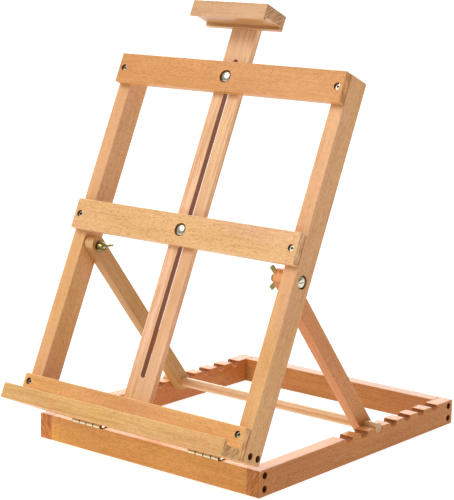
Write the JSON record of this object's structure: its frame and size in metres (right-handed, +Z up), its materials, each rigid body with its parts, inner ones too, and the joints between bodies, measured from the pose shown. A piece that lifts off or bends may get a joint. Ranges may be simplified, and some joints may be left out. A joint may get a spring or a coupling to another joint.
{
  "type": "tabletop artist easel",
  "caption": "Wooden tabletop easel: a leaning panel with a canvas shelf and a sliding top clamp, propped by swinging legs whose crossbar drops into notches on a flat base frame.",
  "frame": {"origin": "middle of the object's box in X and Y, on the surface it stands on", "axes": "+X to the user's right, +Y from the canvas side to the back, +Z up"},
  "size_m": [0.33, 0.449, 0.5143],
  "materials": {
    "beech": "satin, oiled",
    "pale_beech": "satin, oiled",
    "bright_steel": "zinc plated, semi-bright",
    "yellow_zinc": "yellow zinc plated, semi-bright",
    "brass": "brass plated, satin"
  },
  "bodies": {
    "base": {"base_front_rail": "beech", "base_rear_rail": "beech", "base_left_rail": "beech", "base_right_rail": "beech", "base_corner_screws": "bright_steel", "hinge_base_leaf_left": "brass", "hinge_base_leaf_right": "brass", "hinge_pin_left": "bright_steel", "hinge_pin_right": "bright_steel", "hinge_base_screws": "brass"},
    "panel": {"left_upright": "beech", "right_upright": "beech", "panel_bottom_rail": "beech", "bottom_rail_screws": "bright_steel", "top_bar": "beech", "middle_bar": "beech", "lower_bar": "beech", "bar_screws": "bright_steel", "canvas_shelf": "beech", "hinge_panel_leaf_left": "brass", "hinge_panel_leaf_right": "brass", "hinge_panel_screws": "brass", "upper_mast_bolt": "bright_steel", "middle_mast_bolt": "bright_steel", "mast_washers": "yellow_zinc", "leg_bolt_left": "bright_steel", "leg_bolt_right": "bright_steel"},
    "mast": {"mast": "pale_beech", "canvas_clamp": "beech", "clamp_screws": "bright_steel"},
    "leg_frame": {"left_leg": "beech", "right_leg": "beech", "crossbar": "pale_beech", "leg_washers": "yellow_zinc"},
    "upper_nut": {"wing_nut_upper": "yellow_zinc"},
    "middle_nut": {"wing_nut_middle": "yellow_zinc"},
    "left_nut": {"wing_nut_left": "yellow_zinc"},
    "right_nut": {"wing_nut_right": "yellow_zinc"}
  },
  "joints": [
    {"name": "panel_tilt", "type": "hinge", "parent": "base", "child": "panel", "pos_m": [0, -0.15994, 0.0324], "axis": [1, 0, 0], "range_deg": [0, 24.3]},
    {"name": "mast_slide", "type": "slide", "parent": "panel", "child": "mast", "axis": [0, 0.4094, 0.9124], "range_m": [-0.0118, 0.1665]},
    {"name": "leg_swing", "type": "hinge", "parent": "panel", "child": "leg_frame", "pos_m": [0, -0.09263, 0.22492], "axis": [1, 0, 0], "range_deg": [0, 117.1]},
    {"name": "upper_nut_turn", "type": "hinge", "parent": "panel", "child": "upper_nut", "pos_m": [0, -0.0049, 0.42044], "axis": [0, 0.9124, -0.4094], "continuous": true},
    {"name": "middle_nut_turn", "type": "hinge", "parent": "panel", "child": "middle_nut", "pos_m": [0, -0.08002, 0.25302], "axis": [0, 0.9124, -0.4094], "continuous": true},
    {"name": "left_nut_turn", "type": "hinge", "parent": "panel", "child": "left_nut", "pos_m": [-0.125, -0.09263, 0.22492], "axis": [1, 0, 0], "continuous": true},
    {"name": "right_nut_turn", "type": "hinge", "parent": "panel", "child": "right_nut", "pos_m": [0.125, -0.09263, 0.22492], "axis": [-1, 0, 0], "continuous": true}
  ]
}
